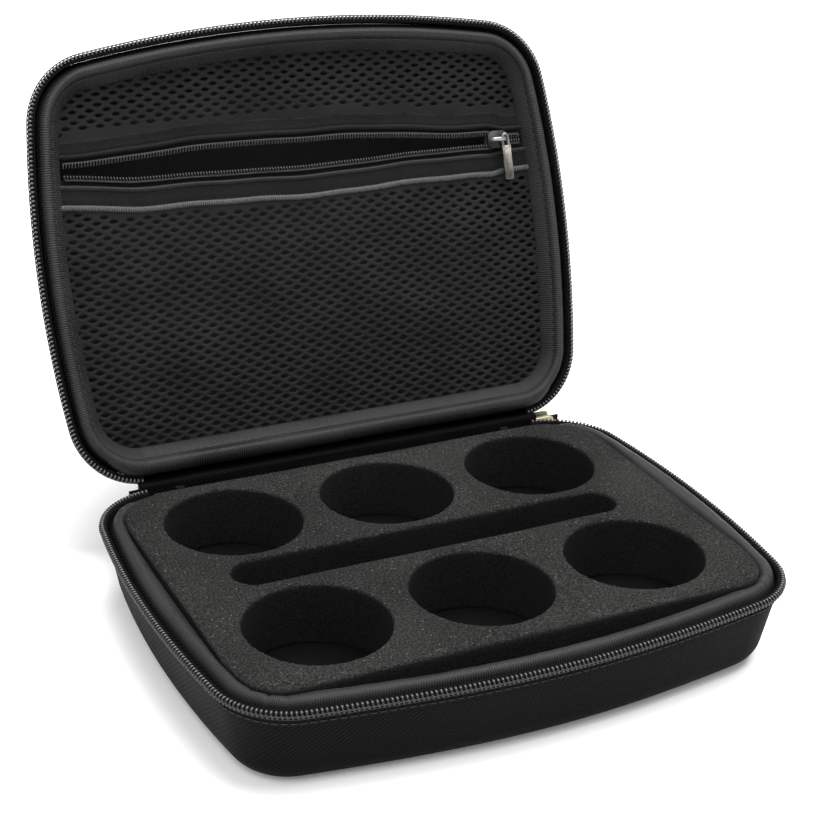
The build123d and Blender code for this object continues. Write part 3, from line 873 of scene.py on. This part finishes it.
def mouth(x, side):
    """How far the teeth hang from the zipper line. Side is 1 towards the hinge."""
    if side > 0:
        return eased(x, [(-88, 0.9), (-60, 3.1), (-10, 3.5), (72, 1.2), (80, -0.2), (90, -0.2)])
    return eased(x, [(-88, 0.9), (-20, 4.1), (10, 4.0), (72, 1.2), (80, -0.2), (90, -0.2)])


def pocket_line(x):
    """The distance of the zipper's middle line from the hinge line."""
    return ZIP_FROM_HINGE - x * ZIP_TILT


def pocket_s(x, side, width):
    """Distance from the hinge line of a point that far beyond the teeth's inner edge."""
    wave = 0.25 * np.sin(x * 0.09 + side) + 0.15 * np.sin(x * 0.23 + 2 * side)
    return pocket_line(x) - side * (mouth(x, side) + width + wave * np.clip(width / 4, 0, 1))


def pocket_point(x, s, t):
    return on_lid(x, HINGE[1] - s, t)


def pocket_strip(name, side, profile, material, nodes=(), half=ZIP_HALF + 3.2):
    """A strip along the pocket mouth. The profile is (distance beyond the teeth, t)."""
    xs = np.linspace(-half, half, 240)
    profile = rounded(profile, 2)
    x = np.tile(xs[:, None], (1, len(profile)))
    width = np.tile(profile[:, 0], (len(xs), 1))
    t = profile[:, 1] + 0.22 * drift(xs, 0.11, side * 3.0, 1.0)
    world = pocket_point(x, pocket_s(x, side, width), t)
    faces, i, j = grid_faces(len(xs), len(profile), False, True)
    uvs = np.stack([xs[i], lengths_along(profile, True)[j]], -1).reshape(-1, 2)
    faces = faces.tolist() + end_caps(len(xs), len(profile))
    strip = make_object(name, world.reshape(-1, 3), faces, np.vstack([uvs, profile, profile]))
    return finished(strip, "lid", "edge_binding", material, *nodes)


POCKET_TOOTH = [(0.12, 0.1, 0.3), (0.02, 0.9, 0.28), (-0.05, 1.45, 0.5)]
POCKET_TOOTH += [(-0.05, 1.5, 0.9), (0.02, 0.9, 1.15), (0.12, 0.1, 1.1)]
POCKET_TOOTH_RADII = [0.2, 0.24, 0.3, 0.3, 0.24, 0.2]
POCKET_PITCH = 1.05
POCKET_CLOTH = [(1.7, 6.55), (2.2, 6.2), (5.8, 6.3), (6.1, 6.9), (1.8, 6.9)]
POCKET_THREAD = [(1.55, 5.35), (1.9, 5.15), (2.25, 5.5), (2.1, 6.2), (1.7, 6.2)]


def make_pocket_zipper():
    xs = np.arange(-ZIP_HALF + 0.5, ZIP_HALF, POCKET_PITCH)
    tooth = tube(POCKET_TOOTH, POCKET_TOOTH_RADII, 6)
    for side, word in ((1, "lower"), (-1, "upper")):

        def at(x, further=0.0, t=6.5):
            s = pocket_s(x, side, np.full_like(x, 1.9)) + further
            return pocket_point(x, s, np.full_like(x, t))

        origins = at(xs)
        along = at(xs + 0.5) - origins
        along /= np.linalg.norm(along, axis=1)[:, None]
        axes = np.stack([along, at(xs, side) - origins, at(xs, 0.0, 5.5) - origins], 1)
        teeth = stamp(f"pocket_teeth_{word}", *tooth, origins, axes)
        finished(teeth, "lid", "zipper_coil", POCKET_COIL, f"pocket_coil_{word}")
        name = f"pocket_zipper_cloth_{word}"
        pocket_strip(name, side, POCKET_CLOTH, TAPE, [f"pocket_tape_{word}"])
        name = f"pocket_zipper_cord_{word}"
        pocket_strip(name, side, POCKET_THREAD, THREAD, half=ZIP_HALF - 0.5)


# each is (distance beyond the teeth, t)
LOWER_RIDGE = [(3.4, 6.3), (3.5, 5.6), (4.2, 5.15), (4.9, 5.5), (5.3, 6.2), (4.4, 6.6)]
LOWER_MIDDLE = [(4.6, 6.3), (5.4, 5.9), (6.8, 6.15), (8.2, 5.95), (9.6, 6.2), (10.4, 6.4)]
LOWER_MIDDLE += [(7.6, 6.9)]
LOWER_EDGE = [(9.9, 6.4), (10.1, 5.7), (10.8, 5.25), (11.7, 5.4), (12.1, 6.2), (11.9, 7.1)]
LOWER_EDGE += [(10.8, 6.9)]
UPPER_RIDGE = [(3.2, 6.3), (3.3, 5.5), (4.1, 5.0), (4.9, 5.4), (5.3, 6.2), (4.2, 6.6)]
UPPER_MIDDLE = [(4.7, 6.3), (5.4, 6.1), (7.2, 6.35), (8.8, 6.2), (9.3, 6.7), (9.0, 7.1), (6.0, 6.9)]


def make_pocket_strips():
    pocket_strip("pocket_strip_lower", 1, LOWER_MIDDLE, STRIP, ["pocket_binding_lower"])
    pocket_strip("pocket_edge_lower", 1, LOWER_EDGE, STRIP_EDGE_HIGHLIGHT)
    pocket_strip("pocket_ridge_lower", 1, LOWER_RIDGE, BAND)
    pocket_strip("pocket_strip_upper", -1, UPPER_MIDDLE, STRIP, ["pocket_binding_upper"])
    pocket_strip("pocket_ridge_upper", -1, UPPER_RIDGE, STRIP)


MESH_PITCH_X, MESH_PITCH_S = 5.9, 1.78
HOLE_LONG, HOLE_SHORT = 1.5, 0.68
TUCK_INSET, BAND_INSET = 10.4, 11.3


def rim_inset(x, s):
    """How far a point is inside the lid's rim outline, and the nearest rim point and normal."""
    _, index, _ = rim_tree.find((x, HINGE[1] - s, 0))
    point, normal = RIM_POINTS[index], RIM_NORMALS[index]
    return float(np.dot(np.array([x, HINGE[1] - s]) - point, normal)), point, normal


def held_in(x, s, side):
    """The point moved back inside the panel, if it is past the rim band or the pocket strip."""
    inset, point, normal = rim_inset(x, s)
    if inset < TUCK_INSET:
        x, y = point + normal * TUCK_INSET
        s = HINGE[1] - y
    edge = float(pocket_s(np.array(x), side, np.array(8.9 if side > 0 else 8.2)))
    s = min(s, edge) if side > 0 else max(s, edge)
    return x, s


def make_pocket_mesh(side, word):
    """A knitted panel: one diamond for each hole, its strands raised between the holes."""
    half_x, half_s = MESH_PITCH_X / 2, MESH_PITCH_S
    corners = np.array([(half_x, 0), (0, half_s), (-half_x, 0), (0, -half_s)], float)
    shares = np.array([0, 1 / 3, 2 / 3])[:, None]
    edge = np.vstack([a + (b - a) * shares for a, b in zip(corners, np.roll(corners, -1, 0))])
    angles = np.arctan2(edge[:, 1] / half_s, edge[:, 0] / half_x)
    hole = np.stack([HOLE_LONG * np.cos(angles), HOLE_SHORT * np.sin(angles)], 1)
    ridge = 0.5 * (hole + edge)
    hole_from = 13.4 if side > 0 else 11.6
    points, index_of, faces = [], {}, []

    def vertex(x, s, lift):
        x, s = held_in(x, s, side)
        key = (round(x, 2), round(s, 2))
        if key not in index_of:
            index_of[key] = len(points)
            rim = rim_inset(x, s)[0]
            from_mouth = abs(float(pocket_s(np.array(x), side, np.array(8.2))) - s)
            slack = min(1.0, max(0.0, (rim - TUCK_INSET) / 26)) * min(1.0, from_mouth / 18)
            wave = noise.noise((x * 0.035, s * 0.05, side * 2.0))
            bulge = (1.5 + 1.1 * wave) * slack + 0.25 * noise.noise((x * 0.12, s * 0.12, 5.0))
            points.append((x, s, MESH_T - 0.35 - bulge - lift))
        return index_of[key]

    low_s, high_s = (8.0, 112.0) if side > 0 else (96.0, 150.0)
    for row in range(int(low_s / half_s), int(high_s / half_s)):
        for column in range(-18, 19):
            cx = column * MESH_PITCH_X + (row % 2) * half_x
            cs = row * half_s
            width = side * (float(pocket_line(cx)) - cs) - float(mouth(np.array(cx), side))
            inset = rim_inset(cx, cs)[0]
            if inset < TUCK_INSET - 3.2 or width < 6.2 or abs(cx) > 96:
                continue
            open_hole = inset > BAND_INSET and width > hole_from
            scatter = 0.1 * noise.noise((cx * 1.7, cs * 1.7, 3.0))
            rings = [edge, ridge, hole * (1 + scatter)] if open_hole else [edge, ridge * 0.7]
            lifts = (0.16, 0.1, -0.12) if open_hole else (0.16, 0.1)
            loops = [
                [vertex(cx + dx, cs + ds, lift) for dx, ds in ring]
                for ring, lift in zip(rings, lifts)
            ]
            for a, b in zip(loops, loops[1:]):
                for k in range(12):
                    quad = [a[k], a[(k + 1) % 12], b[(k + 1) % 12], b[k]]
                    if len(set(quad)) == 4:
                        faces.append(quad)
            if not open_hole and len(set(loops[-1])) == 12:
                faces.append(loops[-1])
    points = np.array(points)
    uvs = points[[v for face in faces for v in face], :2]
    panel = make_object(f"pocket_mesh_panel_{word}", pocket_point(*points.T), faces, uvs)
    modified(panel, "SOLIDIFY", thickness=0.45 * MM, offset=0.0)
    finished(panel, "lid", "pocket_mesh", KNIT, f"pocket_mesh_{word}")


# ---- sliders and pulls ----
def prism(outline, low, high, bevel):
    """A plate with that outline between two heights, its edges eased."""
    outline = np.asarray(outline, float)
    middle = outline.mean(0)
    inner = middle + (outline - middle) * (1 - bevel / np.abs(outline - middle).max())
    levels = [(inner, low), (outline, low + bevel), (outline, high - bevel), (inner, high)]
    points = np.concatenate([np.column_stack([ring, np.full(len(ring), h)]) for ring, h in levels])
    count = len(outline)
    faces = grid_faces(4, count, False, True)[0].tolist() + end_caps(4, count)
    return points, faces


def joined(parts):
    points, faces, start = [], [], 0
    for part_points, part_faces in parts:
        points.append(np.asarray(part_points, float))
        faces += [[v + start for v in face] for face in part_faces]
        start += len(part_points)
    return np.concatenate(points), faces


def slider_parts(length, width, outer, inner, plate, bridge_top, wall):
    """A slider as (along, across, out): two waisted plates, side walls, and the bridge."""
    l, w = length / 2, width / 2
    half = [(-l, 0.62 * w), (-0.55 * l, 0.96 * w), (0.1 * l, w), (0.8 * l, 0.98 * w), (l, 0.8 * w)]
    outline = rounded([(x, -y) for x, y in half] + half[::-1], 1)
    parts = [
        prism(outline, outer - plate, outer, 0.22 * plate),
        prism(outline * 0.97, inner, inner + plate, 0.22 * plate),
    ]
    for sign in (-1, 1):
        side = [(-0.5 * l, 0), (0.75 * l, 0), (0.75 * l, wall), (-0.5 * l, wall)]
        flange = np.array(side) * (1, -sign) + (0, sign * (w - 0.04 * width))
        parts.append(prism(flange, outer - 0.36 * (outer - inner), outer - 0.5 * plate, 0.1))
        parts.append(prism(flange, inner + 0.5 * plate, inner + 0.36 * (outer - inner), 0.1))
    feet, rise = 0.72 * l, bridge_top - plate * 0.5
    arch = [(-feet, 0, outer - plate * 0.5), (-feet, 0, outer + 0.55 * (rise - outer))]
    arch += [(-feet * 0.72, 0, rise - 0.1 * plate), (0, 0, rise)]
    arch += [(-x, y, z) for x, y, z in arch[2::-1]]
    points, faces = tube(arch, [plate * 0.62] * len(arch), 10)
    points[:, 1] *= 1.5
    return joined(parts), (points, faces)


def pull_parts(length, width, thick, eye):
    """A pull hanging along -across from its pivot: a wire loop, then a tab."""
    wire = min(0.62, thick * 0.6)
    w = width / 2 - wire
    top = eye + wire
    turn = np.linspace(0, math.pi, 9)
    loop = [(w, -2.4 * eye, 0), (w, -0.6 * eye, 0)]
    loop += [(w * math.cos(a), (top - 0.1) * math.sin(a), 0) for a in turn[1:-1]]
    loop += [(-w, -0.6 * eye, 0), (-w, -2.4 * eye, 0)]
    right = [(width / 2, -1.7 * eye), (width / 2 * 1.03, -length * 0.6)]
    right += [(width / 2, -length + 0.5), (width / 2 - 0.5, -length)]
    left = [(-x, y) for x, y in right]
    tab = left[:1] + right + left[:0:-1]
    plate = prism(tab, -thick / 2, thick / 2, thick * 0.2)
    raised = [(x * 0.62, y * 0.8 - 0.14 * length) for x, y in tab]
    panel = prism(raised, -thick * 0.62, thick * 0.62, thick * 0.14)
    return joined([tube(loop, [wire] * len(loop), 10), plate, panel])


def placed(name, parts, origin, axes=((1, 0, 0), (0, 0, 1), (0, 1, 0))):
    """A metal piece from (along, across, out) parts. By default they are along X, up and rear."""
    points, faces = parts
    return sharpened(make_object(name, np.asarray(origin) + points @ np.asarray(axes), faces))


def sharpened(obj):
    """Keeps the hard corners of metal crisp."""

    def sharpen(work):
        for edge in work.edges:
            if edge.is_manifold and edge.calc_face_angle() > math.radians(50):
                edge.smooth = False

    edited(obj.data, sharpen)
    return obj


# length, width, outer face, inner face, plate, top of bridge, wall
POCKET_SLIDER = (7.4, 6.6, -4.0, -8.2, 0.8, -1.6, 0.8)
MAIN_SLIDER = (11.0, 9.4, 5.5, 0.3, 0.9, 8.3, 1.1)
# length, width, thickness, eye
POCKET_PULL = (15.0, 3.4, 0.9, 1.4)
MAIN_PULL = (20.0, 6.4, 1.1, 1.6)


def pivot_mm(name):
    return np.array(joint(name)["pos_m"]) / MM


def make_pocket_slider():
    low, high = box_mm("pocket_slider")
    x = (low[0] + high[0]) / 2
    corner = pocket_point(0, 0, 0)
    along = pocket_point(1.0, -ZIP_TILT, 0) - corner
    along /= np.linalg.norm(along)
    out = pocket_point(0, 0, -1.0) - corner
    upright = pocket_point(0, 1.0, 0) - corner
    origin, axes = pocket_point(x, pocket_line(x), 0), [along, np.cross(out, along), out]
    plates, bridge = slider_parts(*POCKET_SLIDER)
    slider = placed("pocket_slider_plates", plates, origin, axes)
    # The plates take the darkened metal, painted shade; the bridge keeps the bright metal.
    finished(slider, "pocket_slider", "slider_metal", SLIDER_PLATES_SHADED, "pocket_slider")
    bridge = placed("pocket_slider_bridge", bridge, origin, axes)
    finished(bridge, "pocket_slider", "slider_metal", SLIDER_METAL)
    axes = [np.cross(upright, out), upright, out]
    pivot = pivot_mm("pocket_pull_swing")
    pull = placed("pocket_pull_metal", pull_parts(*POCKET_PULL), pivot, axes)
    finished(pull, "pocket_pull", "pull_metal", PULL_METAL, "pocket_pull")


def make_main_sliders():
    for word, sign in (("right", 1), ("left", -1)):
        body = f"slider_{word}"
        low, high = box_mm(body)
        origin = np.array([(low[0] + high[0]) / 2, HINGE[1], (low[2] + high[2]) / 2])
        axes = [(sign, 0, 0), (0, 0, 1), (0, 1, 0)]
        plates, bridge = slider_parts(*MAIN_SLIDER)
        slider = placed(f"{body}_plates", plates, origin, axes)
        finished(slider, body, "slider_metal", BRASS_METAL, body)
        bridge = placed(f"{body}_bridge", bridge, origin, axes)
        finished(bridge, body, "slider_metal", BRASS_METAL)
        pivot = pivot_mm(f"pull_{word}_swing")
        pull = placed(f"pull_{word}_metal", pull_parts(*MAIN_PULL), pivot)
        finished(pull, f"pull_{word}", "pull_metal", PULL_METAL, f"pull_{word}")


TAIL_ROOT = (61.0, 64.0)  # from the centre line, where the tail is sewn to the case
TAIL_ROOT_Z = 24.0
TAIL_DROP = 0.9  # how far the tail's top edge lies below the frame node's
TAIL_HALF_GAP = 0.9


def make_tails():
    """The ends of the main zipper that hang behind the hinge line, with their teeth."""
    tooth = tube(TOOTH_PATH, TOOTH_RADII)
    for word, sign in (("right", 1), ("left", -1)):
        low, high = box_mm(f"tail_coil_{word}")
        middle = (low[2] + high[2]) / 2
        xs = np.arange(low[0] + 0.7, high[0] - 0.3, TOOTH_PITCH)
        origins, axes = [], []
        for across in (-1, 1):
            for x in xs + (across > 0) * 0.72:
                origins.append((x, low[1], middle + across * 3.1))
                axes.append([(1, 0, 0), (0, 0, -across), (0, 1, 0)])
        teeth = stamp(f"tail_teeth_{word}", *tooth, np.array(origins), np.array(axes, float))
        finished(teeth, "base", "zipper_coil", COIL, f"tail_coil_{word}")
        low, high = box_mm(f"zipper_tail_{word}")
        near, far = sorted(sign * reach for reach in TAIL_ROOT)
        start, tip = sign * 62.0, high[0] - 0.6 if sign > 0 else low[0] + 0.6
        top, face = high[2] - TAIL_DROP, high[1]
        blocks = []
        for z0, z1 in ((low[2], middle - TAIL_HALF_GAP), (middle + TAIL_HALF_GAP, top)):
            outline = [(start, z0), (tip, z0 + 0.5), (tip, z1 - 0.3), (start, z1)]
            blocks.append(prism(outline, face - 0.6, face, 0.15))
        for z0, y0, y1 in ((low[2], face - 0.7, face + 0.1), (TAIL_ROOT_Z, low[1], face)):
            blocks.append(prism([(near, z0), (far, z0), (far, top), (near, top)], y0, y1, 0.2))
        tail = placed(f"zipper_tail_cloth_{word}", joined(blocks), (0, 0, 0))
        finished(tail, "base", "zipper_tape", TAPE, f"zipper_tail_{word}")


# ---- floor and light ----
def area_light(name, at, aim, size, power):
    data = bpy.data.lights.new(name, "AREA")
    data.shape = "DISK"
    data.size = size
    data.energy = power
    light = linked(name, data)
    light.location = at
    light.rotation_euler = (Vector(aim) - Vector(at)).to_track_quat("-Z", "Y").to_euler()


FLOOR_REACH, FLOOR_Z = 9000, -0.2
SEEN_STRENGTH, LIGHTING_STRENGTH = 1.0, 0.56  # of the world, to the camera and to everything else


def make_stage():
    r = FLOOR_REACH
    corners = [(-r, -r, FLOOR_Z), (r, -r, FLOOR_Z), (r, r, FLOOR_Z), (-r, r, FLOOR_Z)]
    floor = make_object("floor", corners, [(0, 1, 2, 3)])
    floor.data.materials.append(floor_material())
    world = bpy.data.worlds.new("studio")
    world.use_nodes = True
    tree = world.node_tree
    background = tree.nodes["Background"]
    background.inputs[0].default_value = (1, 1, 1, 1)
    seen = tree.nodes.new("ShaderNodeLightPath").outputs["Is Camera Ray"]
    strength = tree.nodes.new("ShaderNodeMapRange")
    strength.inputs[3].default_value = LIGHTING_STRENGTH
    strength.inputs[4].default_value = SEEN_STRENGTH
    tree.links.new(seen, strength.inputs[0])
    tree.links.new(strength.outputs[0], background.inputs[1])
    bpy.context.scene.world = world
    area_light("key", (0.3, 0.02, 1.65), (0, 0, 0.03), 1.5, 52)
    area_light("fill", (-0.7, -0.8, 1.3), (0, 0, 0.05), 0.9, 12)
    bpy.context.scene.view_settings.view_transform = "Standard"


make_camera()
make_shells()
for half_name in ("base", "lid"):
    make_rim(half_name)
make_bindings()
make_hinge()
make_foam()
make_pocket_mesh(1, "lower")
make_pocket_mesh(-1, "upper")
make_pocket_zipper()
make_pocket_strips()
make_pocket_slider()
make_main_sliders()
make_tails()
make_stage()

import json
